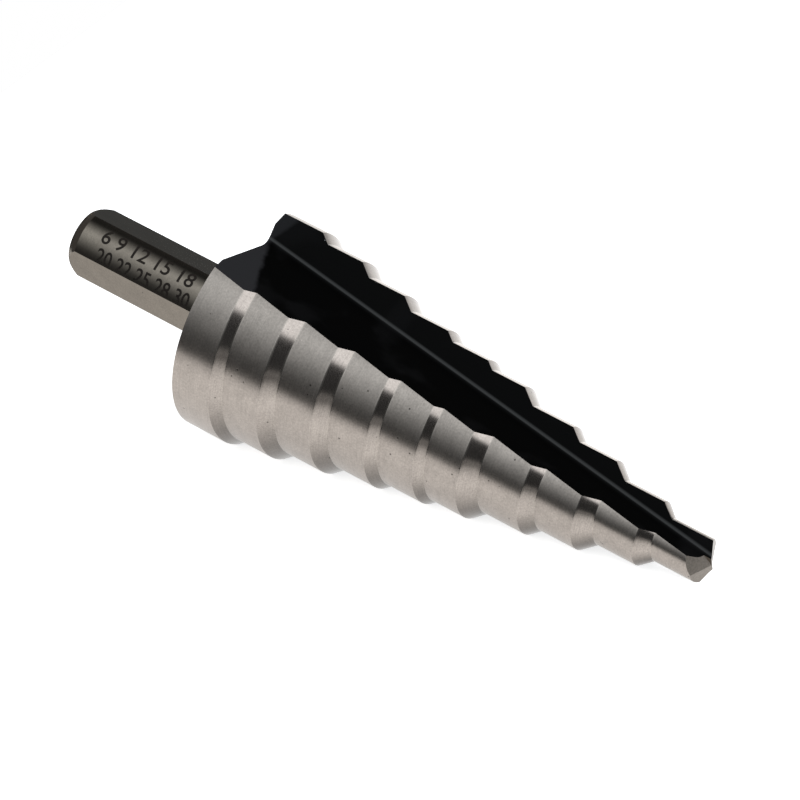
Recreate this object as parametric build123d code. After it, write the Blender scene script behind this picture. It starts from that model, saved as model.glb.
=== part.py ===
from build123d import *
from itertools import combinations
from math import atan2, cos, degrees, radians, sin, sqrt, tan
import os

# Step drill for sheet metal, ground from one bar of high-speed steel.
# Millimetres. The drill is modelled on its own axis, Z, with the back face of
# the largest step at Z = 0, the tip towards +Z and the shank towards -Z, and
# then laid down as it rests on a bench. The cutting face of one land is
# parallel to X.

# Steps from the largest to the tip: diameter, and the length from the corner
# of the step behind to the corner of this one
STEPS = [
    (30.5, 6.85),
    (28.3, 6.85),
    (25.4, 7.35),
    (22.5, 7.5),
    (20.4, 6.75),
    (18.6, 6.1),
    (15.2, 8.2),
    (12.5, 7.2),
    (9.0, 8.0),
    (6.0, 7.95),
]

# Ground shoulders between the steps
shoulder_angle = 40.0        # between a shoulder and the axis
relief_base = 0.2            # how far the shoulder's cone is off the axis, on a step of no size
relief_share = 0.02          # and how much of the step's radius is added to that

# Bevel round the back of the largest step
bevel_depth = 1.8
bevel_length = 0.72

# Shank for a three-jaw chuck
shank_diameter = 10.0
shank_length = 25.0
shank_chamfer_depth = 0.73
shank_chamfer_length = 1.38
shank_chamfer_crown = 0.04   # by which the chamfer bulges from a straight cone
flat_depth = 0.545
flat_turn = 14.4             # from the cutting face to the first flat's normal
flat_count = 3

# Two straight flutes, V-shaped, whose roots close in on the axis at the tip
half_web = 0.875             # from the axis to a cutting face's plane
flute_angle = 106.0          # between the cutting face and the heel wall
root_at_back = 10.58         # from the axis to the V's corner, along the cutting face
root_at_tip = 0.38
root_radius = 1.5

# Split point
point_angle = 140.0
lip_relief = 14.0            # fall of the ground face behind a cutting lip
notch_angle = 39.5           # slope of the notch that thins the chisel edge
notch_turn = 77.0            # direction in which the notch falls, from the cutting face
notch_drop = 0.1             # depth of the notch at the axis, below the chisel edge
chisel_turn = 52.9           # direction of the ridge that the two notches leave
chisel_width = 0.12

# Clearance by which a cutting solid runs past what it cuts, and the distance
# under which two corners count as one
over = 2.0
touching = 0.001

radii = [diameter / 2 for diameter, length in STEPS]
corners_z = [sum(length for diameter, length in STEPS[: i + 1]) for i in range(len(STEPS))]
shank_radius = shank_diameter / 2
body_radius = radii[0]
tip_radius = radii[-1]
tip_z = corners_z[-1]
half_point = radians(point_angle / 2)
lip_x = sqrt(tip_radius**2 - half_web**2)
lip_slope = 1 / tan(half_point)
chisel_z = tip_z + lip_slope * lip_x - tan(radians(lip_relief)) * half_web


def upright(radius, start, end):
    """A round bar on the axis between two heights."""
    return Pos(0, 0, start) * Cylinder(
        radius, end - start, align=(Align.CENTER, Align.CENTER, Align.MIN)
    )


def taper(low_radius, high_radius, start, end):
    """A tapered bar on the axis between two heights."""
    return Pos(0, 0, start) * Cone(
        low_radius, high_radius, end - start, align=(Align.CENTER, Align.CENTER, Align.MIN)
    )


def half_turn(shape):
    """The same shape on the other side of the axis."""
    return Rot(0, 0, 180) * shape


def shoulder(radius, inner, corner_z):
    """A step's front end: a cone set off the axis towards its cutting edge, which leads."""
    off = relief_base + relief_share * radius
    # The cutting edge lies on the plane y = half_web, and the cone passes through it there
    edge_turn = degrees(atan2(half_web, sqrt(radius**2 - half_web**2)))
    slope = tan(radians(shoulder_angle))
    corner_radius = radius - off
    wide = radius + off + over
    narrow = inner / 2
    cone = taper(
        wide,
        narrow,
        corner_z - (wide - corner_radius) / slope,
        corner_z + (corner_radius - narrow) / slope,
    )
    return Rot(0, 0, edge_turn) * Pos(off, 0, 0) * cone


def stepped_body():
    """The stepped cone before its flutes are ground, relieved behind the edge at +X."""
    back = taper(body_radius - bevel_depth, body_radius, 0, bevel_length)
    body = back + upright(body_radius, bevel_length, STEPS[0][1] / 2)
    start = STEPS[0][1] / 2
    for i, radius in enumerate(radii[:-1]):
        inner = radii[i + 1]
        end = corners_z[i] + (radius - inner) / tan(radians(shoulder_angle))
        ring = upright(radius, start, end) & shoulder(radius, inner, corners_z[i])
        body += ring
        start = corners_z[i] - over
        body += upright(inner, start, corners_z[i + 1] - over)
    return body + upright(tip_radius, tip_z - over, chisel_z + over)


def two_lands(body):
    """Each half of the body carries the relief of its own land."""
    size = 4 * body_radius + 2 * tip_z
    middle = flute_angle / 2
    half = Rot(0, 0, middle) * Pos(0, -size / 2, 0) * Box(size, size, size)
    land = body & half
    return land + half_turn(land)


def flute():
    """A V-shaped bar along the flute, wide enough to clear the largest step."""
    reach = 3 * body_radius
    fall = (root_at_back - root_at_tip) / tip_z
    start = -over
    end = chisel_z + over
    turn = radians(flute_angle)
    outline = Polyline(
        (reach, 0),
        (0, 0),
        (reach * cos(turn), reach * sin(turn)),
        (reach, reach),
        close=True,
    )
    section = make_face(outline)
    corner = section.vertices().sort_by_distance((0, 0, 0))[0]
    section = fillet(corner, root_radius)
    section = Pos(root_at_back - fall * start, half_web, start) * section
    length = (end - start) * sqrt(1 + fall**2)
    return extrude(section, amount=length, dir=(-fall, 0, 1))


def facing_plane(height_at_axis, slope_x, slope_y):
    """The plane z = height + slope_x x + slope_y y."""
    return Plane(origin=(0, 0, height_at_axis), z_dir=(-slope_x, -slope_y, 1))


def point_cuts():
    """What is ground off the tip: the face behind each lip, and a notch in each heel."""
    size = 6 * tip_radius
    block = Box(size, size, size, align=(Align.CENTER, Align.CENTER, Align.MIN))
    lip_face = facing_plane(chisel_z, -lip_slope, tan(radians(lip_relief)))
    fall = tan(radians(notch_angle))
    turn = radians(notch_turn)
    floor = facing_plane(chisel_z - notch_drop, -fall * cos(turn), -fall * sin(turn))
    beside = Rot(0, 0, chisel_turn) * Pos(0, chisel_width / 2, tip_z) * Box(
        size, size, size, align=(Align.CENTER, Align.MIN, Align.CENTER)
    )
    notch = (floor.location * block) & beside
    cuts = [lip_face.location * block, notch]
    return cuts + [half_turn(cut) for cut in cuts]


def shank():
    """A round shank with three flats and an end chamfer, crowned as a hand stone leaves it."""
    end = -shank_length
    inner = Vector(shank_radius - shank_chamfer_depth, 0, end)
    outer = Vector(shank_radius, 0, end + shank_chamfer_length)
    outward = Vector(shank_chamfer_length, 0, -shank_chamfer_depth).normalized()
    middle = (inner + outer) * 0.5 + outward * shank_chamfer_crown
    side = Polyline(outer, (shank_radius, 0, bevel_length), (0, 0, bevel_length), (0, 0, end), inner)
    profile = make_face([side, ThreePointArc(inner, middle, outer)])
    bar = revolve(profile, Axis.Z)
    wide = 2 * shank_diameter
    beyond = Pos(shank_radius - flat_depth, 0, -shank_length - over) * Box(
        wide,
        wide,
        shank_length + over,
        align=(Align.MIN, Align.CENTER, Align.MIN),
    )
    for i in range(flat_count):
        bar -= Rot(0, 0, flat_turn + i * 360 / flat_count) * beyond
    return bar


def build_drill():
    body = two_lands(stepped_body())
    for cut in [flute(), half_turn(flute())] + point_cuts():
        body -= cut
    return (body + shank()).clean()


def resting_plane(drill):
    """The bench under the drill when it lies with the flute at -X, -Y facing down.

    It touches three corners of that flute's edges, has none below it, and has
    the drill's centre of gravity above the triangle between them.
    """
    centre = drill.center(CenterOf.MASS)
    feet = []
    for vertex in drill.vertices():
        point = Vector(vertex)
        radius = sqrt(point.X**2 + point.Y**2)
        on_step = any(abs(radius - step) < touching for step in radii)
        if on_step and point.Y < 0 and point.X < body_radius / 2 and point.Z > 0:
            feet.append(point)
    for a, b, c in combinations(feet, 3):
        normal = (b - a).cross(c - a)
        if normal.length < touching:
            continue
        up = normal.normalized()
        if up.dot(centre - a) < 0:
            up = -up
        if min(up.dot(foot - a) for foot in feet) < -touching:
            continue
        sides = [up.dot((q - p).cross(centre - p)) for p, q in ((a, b), (b, c), (c, a))]
        if min(sides) > 0 or max(sides) < 0:
            along = Vector(0, 0, 1) - up * up.Z
            return Plane(origin=a, x_dir=along, z_dir=up)
    raise ValueError("the drill finds no rest on this flute")


def lay_down(drill):
    """The drill at rest on Z = 0, its tip towards +X, centred on the origin."""
    lying = resting_plane(drill).to_local_coords(drill)
    middle = lying.bounding_box().center()
    return Pos(-middle.X, -middle.Y, 0) * lying


os.makedirs("parts", exist_ok=True)
step_drill = lay_down(build_drill())
export_step(step_drill, "parts/step_drill.step")
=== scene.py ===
from math import acos, cos, pi, radians, sin, tan

import bmesh
import bpy
import numpy as np
from mathutils import Matrix, Vector


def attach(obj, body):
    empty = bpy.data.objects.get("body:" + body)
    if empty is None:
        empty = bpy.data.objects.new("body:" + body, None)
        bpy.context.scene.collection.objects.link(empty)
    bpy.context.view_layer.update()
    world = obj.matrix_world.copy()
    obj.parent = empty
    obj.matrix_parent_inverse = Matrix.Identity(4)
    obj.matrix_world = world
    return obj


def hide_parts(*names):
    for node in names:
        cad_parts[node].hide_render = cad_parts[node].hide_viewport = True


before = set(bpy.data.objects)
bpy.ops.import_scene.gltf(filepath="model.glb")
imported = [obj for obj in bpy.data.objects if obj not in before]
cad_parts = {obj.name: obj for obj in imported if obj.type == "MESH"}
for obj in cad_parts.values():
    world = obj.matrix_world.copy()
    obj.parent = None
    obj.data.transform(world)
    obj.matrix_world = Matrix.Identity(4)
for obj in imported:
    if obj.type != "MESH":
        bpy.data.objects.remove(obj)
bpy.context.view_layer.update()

scene = bpy.context.scene
MM = 0.001

# The drill's own axes, as they lie on the bench: x along a cutting face, y towards
# the flute in front of it, z along the axis to the tip. The origin is on the axis,
# in the back face of the largest step. The drill's sizes are in mm.
ORIGIN = Vector((-23.8286, 0.0, 13.7698))
AXES = Matrix(
    (
        (0.11419517, 0.0825367, 0.99002382),
        (0.58578162, -0.81046894, 0.0),
        (0.80238355, 0.57993775, -0.14090012),
    )
)
TO_BENCH = Matrix.Translation(ORIGIN * MM) @ AXES.to_4x4()

# Steps from the largest to the tip: diameter, length from corner to corner
STEPS = [
    (30.5, 6.85), (28.3, 6.85), (25.4, 7.35), (22.5, 7.5), (20.4, 6.75),
    (18.6, 6.1), (15.2, 8.2), (12.5, 7.2), (9.0, 8.0), (6.0, 7.95),
]
RADII = [diameter / 2 for diameter, length in STEPS]
CORNERS = [sum(length for diameter, length in STEPS[: i + 1]) for i in range(len(STEPS))]
TIP_Z = CORNERS[-1]

# Shoulders, which are cones set off the axis as relief, and the bevel round the back
SHOULDER_ANGLE = radians(40.0)
RELIEF_BASE, RELIEF_SHARE = 0.2, 0.02
BEVEL_DEPTH, BEVEL_LENGTH = 1.8, 0.72

# Two straight flutes, whose roots close in on the axis towards the tip
FLUTES = 2
HALF_WEB = 0.875
FLUTE_ANGLE = radians(106.0)
ROOT_BACK, ROOT_TIP, ROOT_RADIUS = 10.58, 0.38, 1.5

# Round shank with flats and a crowned chamfer on its end
SHANK_RADIUS, SHANK_LENGTH = 5.0, 25.0
CHAMFER_DEPTH, CHAMFER_LENGTH, CHAMFER_CROWN = 0.73, 1.38, 0.04
FLAT_DEPTH, FLAT_TURN, FLATS = 0.545, radians(14.4), 3

# Split point: the face behind each lip, the notch in each heel and the ridge between the notches
LIP_SLOPE = 1 / tan(radians(70.0))
LIP_RELIEF = tan(radians(14.0))
NOTCH_SLOPE, NOTCH_TURN, NOTCH_DROP = tan(radians(39.5)), radians(77.0), 0.1
CHISEL_TURN, CHISEL_WIDTH = radians(52.9), 0.12
CHISEL_Z = TIP_Z + LIP_SLOPE * (RADII[-1] ** 2 - HALF_WEB ** 2) ** 0.5 - LIP_RELIEF * HALF_WEB

# Tiny radii that the grinding wheel leaves on a step's corner and under its shoulder
CORNER_RADIUS, UNDERCUT_RADIUS = 0.12, 0.16

# Two rows of sizes on the shank: how tall they are and how far they stand proud, and for
# each row its numbers, its back end, its length and the turn of its baseline
ETCH_HEIGHT, ETCH_STANDS = 2.1, 0.006
ETCHED_ROWS = [
    ("6 9 12 15 18", -20.7, 15.0, radians(75.9)),
    ("20 22 25 28 30", -20.3, 15.2, radians(106.9)),
]

# Finishes, in the order of MATERIALS
GROUND, SHOULDERS, SHANK, BLACK, POINT = range(5)

# Edges that bend by more than this stay sharp, and points nearer than this, in m, are one
CREASE = radians(22.0)
WELD_DISTANCE = 1e-6

# Most of a noise texture's values lie in this range
NOISE_RANGE = (0.3, 0.7)

# Marks of use on ground steel, against the steel round them: brightness of a dark pit and of
# a bright fleck, and how deep the grain and a pit are next to a grinding line
PIT_LEVEL, FLECK_LEVEL = 0.3, 1.35
GRAIN_DEPTH, PIT_DEPTH = 0.5, 6.0

# A turn just past every cutting edge, in radians. Counted from there, a land takes on the
# look that it has beside its own cutting edge between these turns.
EDGE_TURN = 0.3
BESIDE_EDGE = (1.8, 2.45)

# Kinds of node that recur
MATH, RANGE, MIX = "ShaderNodeMath", "ShaderNodeMapRange", "ShaderNodeMix"
VECTOR_MATH, NOISE = "ShaderNodeVectorMath", "ShaderNodeTexNoise"


def linear(hex_colour):
    """An sRGB hex colour as the linear RGBA that shaders take."""
    out = []
    for i in (0, 2, 4):
        c = int(hex_colour[i:i + 2], 16) / 255
        out.append(c / 12.92 if c <= 0.04045 else ((c + 0.055) / 1.055) ** 2.4)
    return (*out, 1.0)


def add(tree, kind, inputs=(), **settings):
    """A node with its settings. Its inputs, in order or by name, are values, sockets or nodes.

    A node stands for its first output, and a list joins all that it holds to one input.
    """
    node = tree.nodes.new(kind)
    for name, value in settings.items():
        setattr(node, name, value)
    for key, value in inputs.items() if isinstance(inputs, dict) else enumerate(inputs):
        for one in value if isinstance(value, list) else [value]:
            source = one.outputs[0] if isinstance(one, bpy.types.Node) else one
            if isinstance(source, bpy.types.NodeSocket):
                tree.links.new(source, node.inputs[key])
            else:
                node.inputs[key].default_value = source
    return node


def put(name, data):
    """An object in the scene that holds that mesh, text, lamp or camera."""
    obj = bpy.data.objects.new(name, data)
    scene.collection.objects.link(obj)
    return obj


# Materials

def new_material(name):
    """A material with its node tree and its shader."""
    m = bpy.data.materials.new(name)
    m.use_nodes = True
    return m, m.node_tree, m.node_tree.nodes["Principled BSDF"]


def in_drill_axes(tree):
    """Object coordinates turned into the drill's own axes, in mm."""
    place = add(tree, "ShaderNodeTexCoord").outputs["Object"]
    turned = add(
        tree, "ShaderNodeMapping",
        {"Vector": place, "Location": ORIGIN * MM, "Rotation": AXES.to_euler()},
        vector_type="TEXTURE",
    )
    return add(tree, VECTOR_MATH, {0: turned, "Scale": 1 / MM}, operation="SCALE")


def graded(tree, value, stops, tint=(1.0, 1.0, 1.0)):
    """A value carried through (place, level) stops, straight in between, as a colour of that tint."""
    low, high = stops[0][0], stops[-1][0]
    share = add(tree, RANGE, (value, low, high, 0.0, 1.0))
    ramp = add(tree, "ShaderNodeValToRGB", (share,))
    marks = ramp.color_ramp.elements
    for place, level in stops[1:-1]:
        marks.new((place - low) / (high - low))
    for mark, (place, level) in zip(marks, stops):
        mark.position = (place - low) / (high - low)
        mark.color = (level * tint[0], level * tint[1], level * tint[2], 1.0)
    return ramp


def spots(tree, vector, per_mm, radius, share):
    """A mask of small round spots: that share of the cells holds one, of that radius in mm."""
    cells = add(tree, "ShaderNodeTexVoronoi", {"Vector": vector, "Scale": per_mm}).outputs
    reach = radius * per_mm
    near = add(
        tree, RANGE, (cells["Distance"], reach, reach * 0.5, 0.0, 1.0), interpolation_type="SMOOTHSTEP"
    )
    drawn = add(tree, "ShaderNodeSeparateColor", (cells["Color"],))
    chosen = add(tree, MATH, (drawn, share), operation="LESS_THAN")
    return add(tree, MATH, (near, chosen), operation="MULTIPLY")


def ground_steel(name, colour, stretch, roughness, lines, grain, relief, by_edge=1.0):
    """Bright steel ground round its axis: its reflections are sharp round it and stretched along it.

    Lines and grain are the shares by which grinding lines and grain darken it, and
    relief is how deep the lines are, in mm. Beside its cutting edge a land keeps the
    share by_edge of its colour.
    """
    m, tree, shader = new_material(name)
    place = in_drill_axes(tree)
    split = add(tree, "ShaderNodeSeparateXYZ", (place,)).outputs
    turn = add(tree, MATH, (split["Y"], split["X"]), operation="ARCTAN2")
    round_axis = add(tree, "ShaderNodeCombineXYZ", (turn, split["Z"], 0.0))

    # Real grinding lines are finer than 9 to the mm, and are drawn this coarse so that they show
    drawn_out = add(tree, "ShaderNodeMapping", {"Vector": round_axis, "Scale": (2.5, 9.0, 1.0)})
    rings = add(tree, NOISE, {"Vector": drawn_out, "Scale": 1.0, "Detail": 3.0})
    mottle = add(tree, NOISE, {"Vector": place, "Scale": 4.0, "Detail": 3.0})
    clouds = add(tree, NOISE, {"Vector": place, "Scale": 0.5, "Detail": 2.0})
    shade = add(tree, RANGE, (rings, *NOISE_RANGE, -lines, 0.0))
    for more in (
        add(tree, RANGE, (mottle, *NOISE_RANGE, -grain, grain * 0.4)),
        add(tree, RANGE, (clouds, 0.35, 0.65, 0.94, 1.02)),
    ):
        shade = add(tree, MATH, (shade, more), operation="ADD")

    # The flecks are moved away from the pits
    pits = spots(tree, place, per_mm=0.8, radius=0.17, share=0.25)
    moved = add(tree, "ShaderNodeMapping", {"Vector": place, "Location": (5.3, 2.1, 7.7)})
    flecks = spots(tree, moved, per_mm=0.6, radius=0.13, share=0.2)

    # Turn since the last cutting edge: first over the flute, then over the land up to its own edge
    past_edge = add(tree, MATH, (turn, 2 * pi - EDGE_TURN), operation="ADD")
    since_edge = add(tree, MATH, (past_edge, pi), operation="MODULO")
    for factor in (
        add(tree, RANGE, (pits, 0.0, 1.0, 1.0, PIT_LEVEL)),
        add(tree, RANGE, (flecks, 0.0, 1.0, 1.0, FLECK_LEVEL)),
        add(tree, RANGE, (since_edge, *BESIDE_EDGE, 1.0, by_edge), interpolation_type="SMOOTHSTEP"),
    ):
        shade = add(tree, MATH, (shade, factor), operation="MULTIPLY")
    tint = add(tree, VECTOR_MATH, {0: linear(colour)[:3], "Scale": shade}, operation="SCALE")
    tree.links.new(tint.outputs[0], shader.inputs["Base Color"])
    shader.inputs["Metallic"].default_value = 1.0
    shader.inputs["Roughness"].default_value = roughness
    shader.inputs["Anisotropic"].default_value = stretch
    axis = add(
        tree, "ShaderNodeVectorTransform", (tuple(AXES.col[2]),),
        vector_type="VECTOR", convert_from="OBJECT", convert_to="WORLD",
    )
    tree.links.new(axis.outputs[0], shader.inputs["Tangent"])

    bumps = add(tree, MATH, (mottle, GRAIN_DEPTH), operation="MULTIPLY")
    dents = add(tree, MATH, (pits, PIT_DEPTH), operation="MULTIPLY")
    height = add(tree, MATH, (rings, bumps), operation="ADD")
    height = add(tree, MATH, (height, dents), operation="SUBTRACT")
    bump = add(tree, "ShaderNodeBump", {"Height": height, "Distance": relief * MM, "Strength": 1.0})
    tree.links.new(bump.outputs[0], shader.inputs["Normal"])
    return m


def black_oxide(name, colour, reflection_and_patch_grey, specks, roughness):
    """Black oxide in the flutes: it shines in a line along the root, and else hardly at all."""
    m, tree, shader = new_material(name)
    place = in_drill_axes(tree)
    split = add(tree, "ShaderNodeSeparateXYZ", (place,)).outputs
    side = add(tree, MATH, (split["Y"],), operation="SIGN")
    along = add(tree, MATH, (split["X"], side), operation="MULTIPLY")
    above = add(tree, MATH, (split["Y"], side), operation="MULTIPLY")
    fall = add(tree, MATH, (split["Z"], (ROOT_BACK - ROOT_TIP) / TIP_Z), operation="MULTIPLY")
    root = add(tree, MATH, (ROOT_BACK, fall), operation="SUBTRACT")
    from_root = add(tree, MATH, (along, root), operation="SUBTRACT")
    off_face = add(tree, MATH, (above, HALF_WEB), operation="SUBTRACT")

    # Shine over the distance out from the root's corner: the line lies where the fillet of the
    # root runs into the cutting face
    shine = [(-1.0, 0.0), (0.1, 0.0), (0.62, 0.04), (0.78, 0.5), (1.0, 0.5), (1.18, 0.08), (2.0, 0.08)]
    tree.links.new(graded(tree, from_root, shine).outputs[0], shader.inputs["Specular IOR Level"])

    # At the back of a flute the black is painted a lighter grey, a painted reflection: this far in the
    # root, further by this much for each mm up the walls, and with an end that is this ragged
    reflection_length, reflection_rise, ragged = 0.3, 0.53, 0.3
    across = add(tree, "ShaderNodeCombineXYZ", (from_root, off_face, 0.0))
    away = add(tree, VECTOR_MATH, (across,), operation="LENGTH").outputs["Value"]
    limit = add(tree, MATH, (away, reflection_rise), operation="MULTIPLY")
    limit = add(tree, MATH, (limit, reflection_length), operation="ADD")
    clouds = add(tree, NOISE, {"Vector": place, "Scale": 0.35, "Detail": 2.0})
    wander = add(tree, RANGE, (clouds, *NOISE_RANGE, -ragged, ragged))
    limit = add(tree, MATH, (limit, wander), operation="ADD")
    behind = add(tree, MATH, (limit, split["Z"]), operation="SUBTRACT")
    rear_reflection = add(tree, RANGE, (behind, -0.4, 0.5, 0.0, 1.0), interpolation_type="SMOOTHSTEP")

    # Elsewhere the black is a little greyer in broad patches, and small specks are rubbed bare
    patches = add(tree, NOISE, {"Vector": place, "Scale": 0.12, "Detail": 3.0})
    patches = add(tree, RANGE, (patches, 0.52, 0.7, 0.0, 0.12), interpolation_type="SMOOTHSTEP")
    greyer = add(tree, MATH, (rear_reflection, patches), operation="MAXIMUM")
    # The painted reflection at the back and the broad patches both mix in the same lighter grey
    mix = add(tree, MIX, {0: greyer, 6: linear(colour), 7: linear(reflection_and_patch_grey)}, data_type="RGBA").outputs[2]
    rubbed = spots(tree, place, per_mm=0.28, radius=0.1, share=0.12)
    base = add(tree, MIX, {0: rubbed, 6: mix, 7: linear(specks)}, data_type="RGBA").outputs[2]
    tree.links.new(base, shader.inputs["Base Color"])
    shader.inputs["Roughness"].default_value = roughness
    return m


def etched_steel(name, colour):
    """Steel darkened by a laser: matt, with a grain of six cells to the mm."""
    m, tree, shader = new_material(name)
    grain = add(tree, NOISE, {"Vector": in_drill_axes(tree), "Scale": 6.0, "Detail": 2.0})
    shade = add(tree, RANGE, (grain, *NOISE_RANGE, 0.6, 1.4))
    tint = add(tree, VECTOR_MATH, {0: linear(colour)[:3], "Scale": shade}, operation="SCALE")
    tree.links.new(tint.outputs[0], shader.inputs["Base Color"])
    shader.inputs["Metallic"].default_value = 0.6
    shader.inputs["Roughness"].default_value = 0.55
    return m


MATERIALS = [
    # Steps: bright steel ground round, with fine lines and a soft grey sheen
    ground_steel(
        "ground_high_speed_steel", "b7aea6",
        stretch=0.88, roughness=0.34, lines=0.14, grain=0.17, relief=0.001,
    ),
    # Shoulders: ground smoother than the steps, and darker beside the cutting edge
    ground_steel(
        "ground_steel_shoulders", "b8afa7",
        stretch=0.3, roughness=0.16, lines=0.14, grain=0.14, relief=0.0004, by_edge=0.45,
    ),
    # Shank: fine ground steel, browner than the steps, with bright streaks along it
    ground_steel(
        "ground_steel_shank", "837b71",
        stretch=0.9, roughness=0.18, lines=0.06, grain=0.12, relief=0.0002,
    ),
    # Flutes and back bevel: black oxide, deep black and smooth, with a painted grey reflection at the back
    black_oxide("black_oxide_on_steel", "070707", reflection_and_patch_grey="2c2c2e", specks="b0b0b0", roughness=0.13),
    # Point: darker ground steel with more grain
    ground_steel(
        "ground_steel_point", "8c857d",
        stretch=0.3, roughness=0.28, lines=0.05, grain=0.2, relief=0.0006,
    ),
]
ETCHED = etched_steel("laser_etched_steel", "261f1a")


# The drill's shape, in its own axes and in mm

def root_x(z):
    """Where the root's corner lies along the cutting face at that height."""
    return ROOT_BACK - (ROOT_BACK - ROOT_TIP) * z / TIP_Z


def heel_turn(r, z):
    """Where the heel wall of the flute meets radius r."""
    lean = FLUTE_ANGLE - pi / 2
    reach = root_x(z) * cos(lean) + HALF_WEB * sin(lean)
    return lean + np.arccos(reach / r)


def edge_turn(r):
    """Where the cutting face meets radius r."""
    return np.arcsin(HALF_WEB / r)


def shoulder_z(i, r, turn):
    """Height of shoulder i, a cone set off the axis towards the cutting edge."""
    off = RELIEF_BASE + RELIEF_SHARE * RADII[i]
    from_axis = np.sqrt(r * r + off * off - 2 * r * off * np.cos(turn - edge_turn(RADII[i])))
    return CORNERS[i] + (RADII[i] - off - from_axis) / tan(SHOULDER_ANGLE)


def body_rows():
    """Rows from the back face to past the tip: radius, height as a function of turn, finish above."""
    def fixed(z):
        return lambda turn: np.full_like(turn, z)

    def sloped(i, r, lift=0.0):
        return lambda turn: shoulder_z(i, r, turn) + lift

    def part_way(low, high, share):
        return lambda turn: low(turn) * (1 - share) + high(turn) * share

    past_tip = 1.0
    rows = [(RADII[0] - BEVEL_DEPTH, fixed(0.0), BLACK)]
    low = fixed(BEVEL_LENGTH)
    rows.append((RADII[0], low, GROUND))
    corner_back = CORNER_RADIUS * tan(SHOULDER_ANGLE / 2)
    under_back = UNDERCUT_RADIUS * tan(SHOULDER_ANGLE / 2)
    for i, radius in enumerate(RADII):
        last = i == len(RADII) - 1
        high = fixed(CHISEL_Z + past_tip) if last else sloped(i, radius, -corner_back)
        for share in (0.02, 0.2, 0.4, 0.6, 0.8, 0.98):
            rows.append((radius, part_way(low, high, share), GROUND))
        if last:
            rows.append((radius, high, GROUND))
            break
        inner = RADII[i + 1]

        # The step's rounded corner, then its shoulder, then the radius under the shoulder
        for share in (0.0, 0.5, 1.0):
            a = SHOULDER_ANGLE * share
            r = radius - CORNER_RADIUS * (1 - cos(a))
            rows.append((r, sloped(i, radius, CORNER_RADIUS * sin(a) - corner_back), SHOULDERS))
        for share in (0.15, 0.5, 0.85):
            r = radius - CORNER_RADIUS * (1 - cos(SHOULDER_ANGLE))
            r = r + (inner + UNDERCUT_RADIUS * (1 - cos(SHOULDER_ANGLE)) - r) * share
            rows.append((r, sloped(i, r), SHOULDERS))
        for share in (1.0, 0.66, 0.33, 0.0):
            a = SHOULDER_ANGLE * share
            r = inner + UNDERCUT_RADIUS * (1 - cos(a))
            finish = SHOULDERS if share else GROUND
            rows.append((r, sloped(i, inner, under_back - UNDERCUT_RADIUS * sin(a)), finish))
        low = sloped(i, inner, under_back)
    return rows


def loop(r, height, land_columns=72, wall_columns=7, root_columns=24):
    """One row of the half body: round a land to its cutting edge, then down and up the flute.

    A land's ends depend on its height and its height on the turn, so both are settled
    in rounds. Past the edge each wall and the root take a share of the row's rise.
    """
    settle_rounds = 8
    wall_rise, root_rise = 0.4, 0.2
    t = np.linspace(0, 1, land_columns)
    z = height(np.full_like(t, 1.5 * pi))
    for settle in range(settle_rounds):
        turn = (heel_turn(r, z) + pi) * (1 - t) + (edge_turn(r) + 2 * pi) * t
        z = height(turn)
    land = np.stack([r * np.cos(turn), r * np.sin(turn), z], 1)

    # The heel across the flute is the other land's, which is this one turned by half a turn
    edge, heel = land[-1], land[0] * (-1, -1, 1)
    rise = heel[2] - edge[2]
    tangent = ROOT_RADIUS / tan(FLUTE_ANGLE / 2)
    up = np.array([cos(FLUTE_ANGLE), sin(FLUTE_ANGLE)])
    corner = np.array([root_x(heel[2]), HALF_WEB])
    heel_reach = (heel[:2] - corner) @ up

    # Down the cutting face, round the fillet of the root, and up the heel wall
    points = []
    for k in range(1, wall_columns + 1):
        share = k / wall_columns
        z = edge[2] + rise * wall_rise * share
        x = edge[0] + (root_x(z) + tangent - edge[0]) * share
        points.append((x, HALF_WEB, z))
    for k in range(1, root_columns + 1):
        share = k / root_columns
        z = edge[2] + rise * (wall_rise + root_rise * share)
        a = -pi / 2 - (pi - FLUTE_ANGLE) * share
        x = root_x(z) + tangent + ROOT_RADIUS * cos(a)
        points.append((x, HALF_WEB + ROOT_RADIUS * (1 + sin(a)), z))
    for k in range(1, wall_columns + 1):
        share = k / wall_columns
        z = edge[2] + rise * (1 - wall_rise + wall_rise * share)
        x, y = np.array([root_x(z), HALF_WEB]) + up * (tangent + (heel_reach - tangent) * share)
        points.append((x, y, z))
    return np.concatenate([land, np.array(points)]), land_columns


def finished(name, mesh, finishes):
    """An object with one finish for each face of its mesh."""
    for m in MATERIALS:
        mesh.materials.append(m)
    mesh.polygons.foreach_set("material_index", finishes)
    return put(name, mesh)


def mesh_from(name, points, faces, finishes):
    """An object in metres, from points in mm."""
    mesh = bpy.data.meshes.new(name)
    mesh.from_pydata([tuple(p) for p in np.asarray(points, float) * MM], [], faces)
    return finished(name, mesh, finishes)


def half_body():
    """One land and one flute, open towards the other half."""
    points, faces, finishes = [], [], []
    rows = body_rows()
    for row, (r, height, finish) in enumerate(rows):
        ring, lands = loop(r, height)
        count = len(ring)
        points.extend(ring)
        if row == len(rows) - 1:
            break
        for j in range(count - 1):
            a = row * count + j
            faces.append((a, a + 1, a + 1 + count, a + count))
            finishes.append(finish if j < lands - 1 else BLACK)

    # Both ends are closed with fans from the axis
    top = (len(rows) - 1) * count
    points.append((0.0, 0.0, 0.0))
    points.append((0.0, 0.0, points[top][2]))
    centre = len(points) - 2
    for j in range(count - 1):
        faces.append((centre, j + 1, j))
        faces.append((centre + 1, top + j, top + j + 1))
        finishes += [BLACK, POINT]
    return mesh_from("half_body", points, faces, finishes)


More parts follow.
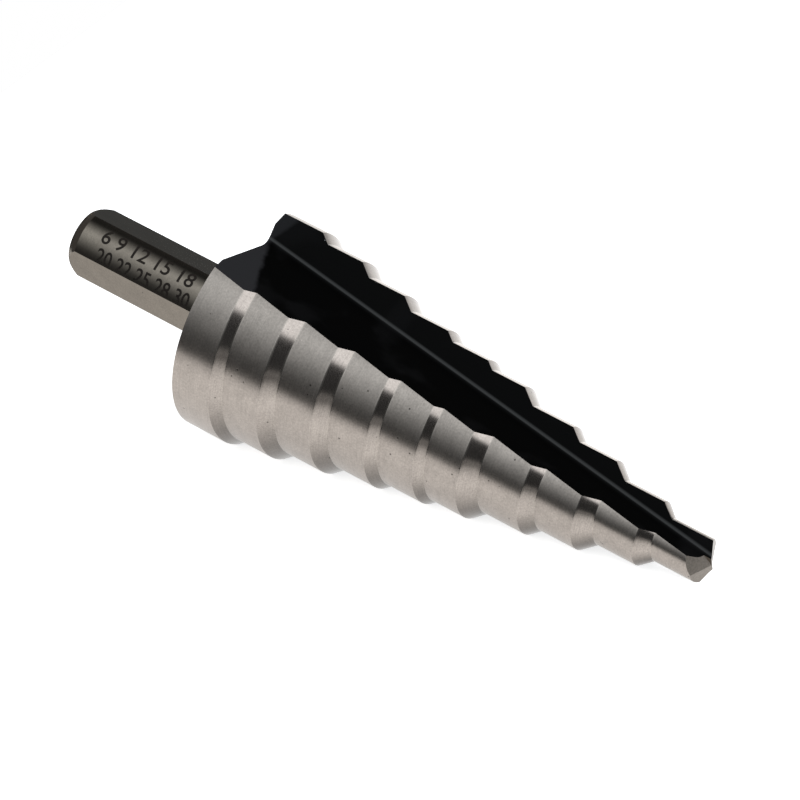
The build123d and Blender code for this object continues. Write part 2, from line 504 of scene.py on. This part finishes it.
def shank():
    """The round shank with its flats and end chamfer, run a little into the body."""
    chamfer_parts, flat_columns, round_columns = 8, 6, 24
    straight_rows = (-23.3, -20.0, -15.0, -10.0, -5.0, 1.0)
    same_point = 1e-7

    # Radius and height of each row, up the crowned chamfer and then straight
    flat_at = SHANK_RADIUS - FLAT_DEPTH
    rim = Vector((SHANK_RADIUS - CHAMFER_DEPTH, -SHANK_LENGTH))
    slant = Vector((CHAMFER_DEPTH, CHAMFER_LENGTH))
    bulge = Vector((CHAMFER_LENGTH, -CHAMFER_DEPTH)).normalized() * CHAMFER_CROWN
    flats_begin = (flat_at - SHANK_RADIUS + CHAMFER_DEPTH) / CHAMFER_DEPTH
    profile = []
    for share in sorted([k / chamfer_parts for k in range(chamfer_parts + 1)] + [flats_begin]):
        p = rim + slant * share + bulge * 4 * share * (1 - share)
        profile.append((flat_at if share == flats_begin else p.x, p.y))
    for z in straight_rows:
        profile.append((SHANK_RADIUS, z))

    # Each row goes across a flat, where there is one at its radius, and then round to the next
    points, faces = [], []
    for r, z in profile:
        half = acos(min(1.0, flat_at / r))
        for k in range(FLATS):
            centre = FLAT_TURN + k * 2 * pi / FLATS
            for j in range(flat_columns):
                a = centre - half + 2 * half * j / flat_columns
                reach = flat_at / cos(a - centre) if half > 0 else r
                points.append((reach * cos(a), reach * sin(a), z))
            rest = 2 * pi / FLATS - 2 * half
            for j in range(round_columns):
                a = centre + half + rest * j / round_columns
                points.append((r * cos(a), r * sin(a), z))
    count = FLATS * (flat_columns + round_columns)
    for row in range(len(profile) - 1):
        for j in range(count):
            a, b = row * count + j, row * count + (j + 1) % count
            faces.append((a, b, b + count, a + count))
    last = (len(profile) - 1) * count
    faces.append(tuple(range(count))[::-1])
    faces.append(tuple(range(last, last + count)))
    obj = mesh_from("shank_shape", points, faces, [SHANK] * len(faces))
    bm = bmesh.new()
    bm.from_mesh(obj.data)
    bmesh.ops.remove_doubles(bm, verts=bm.verts, dist=same_point)
    bm.to_mesh(obj.data)
    bm.free()
    return obj


def block_above(name, planes, size=12.0, below_tip=3.0):
    """A block round the tip, cut to the space above every plane (a point and its upward normal)."""
    bm = bmesh.new()
    bmesh.ops.create_cube(bm, size=size)
    bmesh.ops.translate(bm, verts=bm.verts, vec=(0, 0, TIP_Z + size / 2 - below_tip))
    for point, normal in planes:
        cut = bmesh.ops.bisect_plane(
            bm, geom=[*bm.verts, *bm.edges, *bm.faces], plane_co=point, plane_no=normal,
            clear_inner=True,
        )
        rim = [e for e in cut["geom_cut"] if isinstance(e, bmesh.types.BMEdge)]
        bmesh.ops.contextual_create(bm, geom=rim)
    bmesh.ops.recalc_face_normals(bm, faces=bm.faces)
    bmesh.ops.scale(bm, vec=(MM, MM, MM), verts=bm.verts)
    mesh = bpy.data.meshes.new(name)
    bm.to_mesh(mesh)
    bm.free()
    return finished(name, mesh, [POINT] * len(mesh.polygons))


def group_input(tree, name, kind, default=None):
    """A named input of a tree, and the identifier by which a modifier sets it."""
    socket = tree.interface.new_socket(name, in_out="INPUT", socket_type=kind)
    if default is not None:
        socket.default_value = default
    return socket.identifier


def drill_tree():
    """Two half bodies turned about the axis, joined to the shank, with the point ground on."""
    tree = bpy.data.node_groups.new("step_drill_tree", "GeometryNodeTree")
    ids = {
        "Geometry": group_input(tree, "Geometry", "NodeSocketGeometry"),
        "Flutes": group_input(tree, "Flutes", "NodeSocketInt", FLUTES),
        "Weld distance": group_input(tree, "Weld distance", "NodeSocketFloat", WELD_DISTANCE),
        "Crease angle": group_input(tree, "Crease angle", "NodeSocketFloat", CREASE),
        "Shank": group_input(tree, "Shank", "NodeSocketObject"),
        "Lip face": group_input(tree, "Lip face", "NodeSocketObject"),
        "Notch": group_input(tree, "Notch", "NodeSocketObject"),
    }
    tree.interface.new_socket("Geometry", in_out="OUTPUT", socket_type="NodeSocketGeometry")
    given = add(tree, "NodeGroupInput").outputs
    step = add(tree, MATH, (2 * pi, given["Flutes"]), operation="DIVIDE")

    one = add(tree, "GeometryNodeGeometryToInstance", (given["Geometry"],))
    copies = add(
        tree, "GeometryNodeDuplicateElements", {0: one, "Amount": given["Flutes"]}, domain="INSTANCE"
    )
    angle = add(tree, MATH, (step, copies.outputs[1]), operation="MULTIPLY")
    spin = add(tree, "ShaderNodeCombineXYZ", {2: angle})
    around = add(
        tree, "GeometryNodeRotateInstances",
        {"Instances": copies, "Rotation": spin, "Local Space": False},
    )
    halves = add(tree, "GeometryNodeRealizeInstances", (around,))
    body = add(
        tree, "GeometryNodeMergeByDistance", {"Geometry": halves, "Distance": given["Weld distance"]}
    )

    bar = add(tree, "GeometryNodeObjectInfo", {"Object": given["Shank"]}).outputs["Geometry"]
    shape = add(
        tree, "GeometryNodeMeshBoolean", {"Mesh 2": [body, bar]}, operation="UNION", solver="EXACT"
    )
    for name in ("Lip face", "Notch"):
        cutter = add(tree, "GeometryNodeObjectInfo", {"Object": given[name]}).outputs["Geometry"]
        for half in range(2):
            placed = add(
                tree, "GeometryNodeTransform", {"Geometry": cutter, "Rotation": (0.0, 0.0, half * pi)}
            )
            shape = add(
                tree, "GeometryNodeMeshBoolean", {"Mesh 1": shape, "Mesh 2": placed},
                operation="DIFFERENCE", solver="EXACT",
            )

    shape = add(
        tree, "GeometryNodeSetShadeSmooth", {"Geometry": shape, "Shade Smooth": True}, domain="FACE"
    )
    bend = add(tree, "GeometryNodeInputMeshEdgeAngle").outputs["Unsigned Angle"]
    crease = add(tree, "FunctionNodeCompare", (bend, given["Crease angle"]), operation="GREATER_THAN")
    shape = add(
        tree, "GeometryNodeSetShadeSmooth",
        {"Geometry": shape, "Selection": crease, "Shade Smooth": False}, domain="EDGE",
    )

    shape = add(tree, "GeometryNodeRealizeInstances", (shape,))
    index = add(tree, "GeometryNodeInputMaterialIndex")
    for k, m in enumerate(MATERIALS):
        chosen = add(tree, "FunctionNodeCompare", {2: index, 3: k}, data_type="INT", operation="EQUAL")
        shape = add(
            tree, "GeometryNodeSetMaterial", {"Geometry": shape, "Selection": chosen, "Material": m}
        )
    add(tree, "NodeGroupOutput", (shape,))
    return tree, ids


lip_face = block_above(
    "lip_face", [((0, 0, CHISEL_Z), (LIP_SLOPE, -LIP_RELIEF, 1))]
)
notch = block_above(
    "notch",
    [
        ((0, 0, CHISEL_Z - NOTCH_DROP),
         (NOTCH_SLOPE * cos(NOTCH_TURN), NOTCH_SLOPE * sin(NOTCH_TURN), 1)),
        ((-sin(CHISEL_TURN) * CHISEL_WIDTH / 2, cos(CHISEL_TURN) * CHISEL_WIDTH / 2, TIP_Z),
         (-sin(CHISEL_TURN), cos(CHISEL_TURN), 0)),
    ],
)
bar = shank()
half = half_body()
tree, ids = drill_tree()
modifier = half.modifiers.new("shape", "NODES")
modifier.node_group = tree
modifier[ids["Flutes"]] = FLUTES
modifier[ids["Weld distance"]] = WELD_DISTANCE
modifier[ids["Crease angle"]] = CREASE
modifier[ids["Shank"]] = bar
modifier[ids["Lip face"]] = lip_face
modifier[ids["Notch"]] = notch

# The small radii blend into the steps, whose wide faces keep their own shading
weigh = half.modifiers.new("weigh", "WEIGHTED_NORMAL")
weigh.mode = "FACE_AREA"
weigh.weight = 80
weigh.keep_sharp = True

depsgraph = bpy.context.evaluated_depsgraph_get()
mesh = bpy.data.meshes.new_from_object(half.evaluated_get(depsgraph))
mesh.name = "step_drill_body"
for o in (half, bar, lip_face, notch):
    bpy.data.objects.remove(o)
mesh.transform(TO_BENCH)
drill = put("step_drill_body", mesh)
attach(drill, "root")
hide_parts("step_drill")


# The steps' sizes in whole millimetres, etched on the shank so that they read towards the tip

def etched_row(text, back_z, length, baseline, height, stroke=0.012, strip=0.15):
    """A row of text laid round the shank: flat letters cut into strips and bent to the radius.

    The stroke is what the letters gain in boldness, in the font's own units, and each
    strip is that wide in mm.
    """
    letters = bpy.data.curves.new("letters", "FONT")
    letters.body = text
    letters.offset = stroke
    flat = put("letters", letters)
    shape = bpy.data.meshes.new_from_object(flat.evaluated_get(bpy.context.evaluated_depsgraph_get()))
    bpy.data.objects.remove(flat)
    bm = bmesh.new()
    bm.from_mesh(shape)
    xs = [v.co.x for v in bm.verts]
    ys = [v.co.y for v in bm.verts]
    wide, tall = max(xs) - min(xs), max(ys) - min(ys)
    for v in bm.verts:
        v.co.x = (v.co.x - min(xs)) / wide * length
        v.co.y = (v.co.y - min(ys)) / tall * height
    for k in range(1, int(height / strip) + 1):
        bmesh.ops.bisect_plane(
            bm, geom=[*bm.verts, *bm.edges, *bm.faces], plane_co=(0, k * strip, 0), plane_no=(0, 1, 0)
        )
    r = SHANK_RADIUS + ETCH_STANDS
    for v in bm.verts:
        turn = baseline - v.co.y / SHANK_RADIUS
        v.co = Vector((r * cos(turn), r * sin(turn), back_z + v.co.x)) * MM
    bm.normal_update()
    inward = [f for f in bm.faces if f.normal.x * f.verts[0].co.x + f.normal.y * f.verts[0].co.y < 0]
    bmesh.ops.reverse_faces(bm, faces=inward)
    bm.to_mesh(shape)
    bm.free()
    return shape


numbers = bmesh.new()
for text, back_z, length, baseline in ETCHED_ROWS:
    row = etched_row(text, back_z, length, baseline, ETCH_HEIGHT)
    numbers.from_mesh(row)
    bpy.data.meshes.remove(row)
mesh = bpy.data.meshes.new("etched_sizes")
numbers.to_mesh(mesh)
numbers.free()
mesh.transform(TO_BENCH)
mesh.materials.append(ETCHED)
etched = put("etched_sizes", mesh)
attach(etched, "root")


# Floor, light and camera, in metres

# Edges of the floor
LEFT, RIGHT, FRONT, REAR = -0.1, 0.4, -0.3, 0.5

# What the steel sees of the floor. FADE is its brightness over the distance back from a line
# that runs to the right and back by that slope. Beyond the tip it keeps at least a dim level.
# Each of FLOOR_RANGES is an axis, two places on it, and the factors of brightness at them.
FADE_SLOPE = 0.72
FADE = [(-0.2, 0.05), (-0.16, 0.1), (-0.11, 0.25), (-0.075, 0.55), (-0.05, 0.85), (-0.035, 1.0), (0.2, 1.0)]
BEYOND_TIP, BEYOND_LEVEL = (0.05, 0.13), 0.22
FLOOR_LEVEL = 1.28
FLOOR_RANGES = [
    ("X", (-0.03, -0.06), (1.0, 0.87)),
    ("Y", (0.0, 0.025), (1.0, 1.45)),
    ("Y", (0.09, 0.19), (1.0, 0.5)),
]

# The shadow near the drill, within its reach: the share of the floor's light that it takes,
# for the steel and for the camera, and what stays
SHADOW_REACH = 0.03
STEEL_SHADOW, STEEL_STAYS = 0.35, 0.65
CAMERA_SHADOW, CAMERA_STAYS = 0.2, 0.76

# What the steel sees of the studio: brightness over the height round the drill, from the level
# in front (0) over the top (0.5) to the level behind (1), and a cool tint. As a direction's X
# goes through PANEL_EDGE, a bright panel past the tip takes the sky's place, and through
# GREY_EDGE, a plain grey behind the shank.
SKY = [
    (0.0, 0.07), (0.03, 0.085), (0.09, 0.16), (0.155, 0.375), (0.222, 0.67), (0.289, 1.0),
    (0.35, 1.24), (0.39, 1.2), (0.454, 0.72), (0.52, 0.26), (0.57, 0.05), (0.67, 0.015),
    (0.86, 0.04), (0.92, 0.13), (0.965, 0.16), (1.0, 0.17),
]
SKY_TINT = (0.94, 1.0, 1.04)
PANEL = [(0.0, 0.04), (0.26, 0.04), (0.305, 1.6), (0.75, 1.6), (0.85, 0.1), (1.0, 0.1)]
PANEL_TINT = (0.97, 1.0, 1.04)
PANEL_EDGE = (0.72, 0.83)
GREY_LEVEL = 0.16
GREY_EDGE = (-0.55, -0.75)

# The photograph's view: the directions of its right side, its top and away from what it shows
CAMERA_PLACE = (0.265146, -0.350885, 0.339380)
CAMERA_RIGHT = (0.81821158, 0.57329008, -0.04322374)
CAMERA_UP = (-0.31633396, 0.51170515, 0.79880577)
CAMERA_BACK = (0.48006524, -0.63991899, 0.6000342)
LENS, SENSOR_WIDTH = 191.6, 36.0


def white_floor():
    """A plain white floor with the drill's shadow, darker in parts where the steel mirrors it."""
    mesh = bpy.data.meshes.new("floor")
    mesh.from_pydata(
        [(LEFT, FRONT, 0), (RIGHT, FRONT, 0), (RIGHT, REAR, 0), (LEFT, REAR, 0)], [], [(0, 1, 2, 3)]
    )
    paper, tree, shader = new_material("matt_white_paper")
    shader.inputs["Base Color"].default_value = linear("f2f2f2")
    shader.inputs["Roughness"].default_value = 0.9
    mesh.materials.append(paper)
    path = add(tree, "ShaderNodeLightPath").outputs
    near = add(tree, "ShaderNodeAmbientOcclusion", {"Distance": SHADOW_REACH}, samples=8).outputs["AO"]
    spot = add(tree, "ShaderNodeTexCoord").outputs["Object"]
    place = add(tree, "ShaderNodeSeparateXYZ", (spot,)).outputs

    aslant = add(tree, MATH, (place["X"], FADE_SLOPE), operation="MULTIPLY")
    back = add(tree, MATH, (place["Y"], aslant), operation="SUBTRACT")
    beyond = add(
        tree, RANGE, (place["X"], *BEYOND_TIP, 0.0, BEYOND_LEVEL), interpolation_type="SMOOTHSTEP"
    )
    glossy = add(tree, MATH, (graded(tree, back, FADE), beyond), operation="MAXIMUM")
    glossy = add(tree, MATH, (glossy, FLOOR_LEVEL), operation="MULTIPLY")
    for axis, places, factors in FLOOR_RANGES:
        factor = add(tree, RANGE, (place[axis], *places, *factors), interpolation_type="SMOOTHSTEP")
        glossy = add(tree, MATH, (glossy, factor), operation="MULTIPLY")
    shadow = add(tree, MATH, (near, STEEL_SHADOW), operation="MULTIPLY")
    shadow = add(tree, MATH, (shadow, STEEL_STAYS), operation="ADD")
    glossy = add(tree, MATH, (glossy, shadow), operation="MULTIPLY")
    mirrored = add(tree, "ShaderNodeEmission", {"Strength": glossy})

    direct = add(tree, MATH, (near, CAMERA_SHADOW), operation="MULTIPLY")
    direct = add(tree, MATH, (direct, CAMERA_STAYS), operation="ADD")
    direct = add(tree, MATH, (path["Is Camera Ray"], direct), operation="MULTIPLY")
    lift = add(tree, "ShaderNodeEmission", {"Strength": direct})
    lifted = add(tree, "ShaderNodeAddShader", (shader, lift))
    seen = add(tree, "ShaderNodeMixShader", (path["Is Glossy Ray"], lifted, mirrored))
    tree.links.new(seen.outputs[0], tree.nodes["Material Output"].inputs["Surface"])
    return put("floor", mesh)


def studio():
    """A world that the camera sees as white, and the steel as a light above and in front."""
    world = bpy.data.worlds.new("studio")
    world.use_nodes = True
    tree = world.node_tree
    tree.nodes.clear()
    facing = add(tree, "ShaderNodeTexCoord").outputs["Generated"]
    split = add(tree, "ShaderNodeSeparateXYZ", (facing,)).outputs
    ahead = add(tree, MATH, (split["Y"], -1.0), operation="MULTIPLY")
    over = add(tree, MATH, (split["Z"], ahead), operation="ARCTAN2")
    height = add(tree, MATH, (over, pi), operation="DIVIDE")
    sky = graded(tree, height, SKY, SKY_TINT)
    panel = graded(tree, height, PANEL, PANEL_TINT)
    grey = (GREY_LEVEL, GREY_LEVEL, GREY_LEVEL, 1.0)
    for edge, colour in ((PANEL_EDGE, panel), (GREY_EDGE, grey)):
        side = add(tree, RANGE, (split["X"], *edge, 0.0, 1.0), interpolation_type="SMOOTHSTEP")
        sky = add(tree, MIX, {0: side, 6: sky, 7: colour}, data_type="RGBA").outputs[2]
    light = add(tree, "ShaderNodeBackground", (sky, 1.0))
    white = add(tree, "ShaderNodeBackground", (linear("ffffff"), 1.0))
    path = add(tree, "ShaderNodeLightPath").outputs
    mix = add(tree, "ShaderNodeMixShader", (path["Is Camera Ray"], light, white))
    add(tree, "ShaderNodeOutputWorld", {"Surface": mix})
    return world


def lamp(name, direction, size, power, distance=0.6):
    """A soft lamp in that direction, facing the drill."""
    data = bpy.data.lights.new(name, "AREA")
    data.shape = "RECTANGLE"
    data.size, data.size_y = size
    data.energy = power
    obj = put(name, data)
    d = Vector(direction).normalized()
    obj.location = d * distance
    obj.rotation_euler = d.to_track_quat("Z", "Y").to_euler()


floor = white_floor()
scene.world = studio()
lamp("high_softbox", direction=(0.3, 0.6, 0.75), size=(0.4, 0.3), power=2.0)

data = bpy.data.cameras.new("camera")
data.sensor_width = SENSOR_WIDTH
data.lens = LENS
data.clip_start, data.clip_end = 0.01, 20.0
camera = put("camera", data)
turn = Matrix((CAMERA_RIGHT, CAMERA_UP, CAMERA_BACK)).transposed()
camera.matrix_world = Matrix.Translation(CAMERA_PLACE) @ turn.to_4x4()
scene.camera = camera
scene.view_settings.view_transform = "Standard"
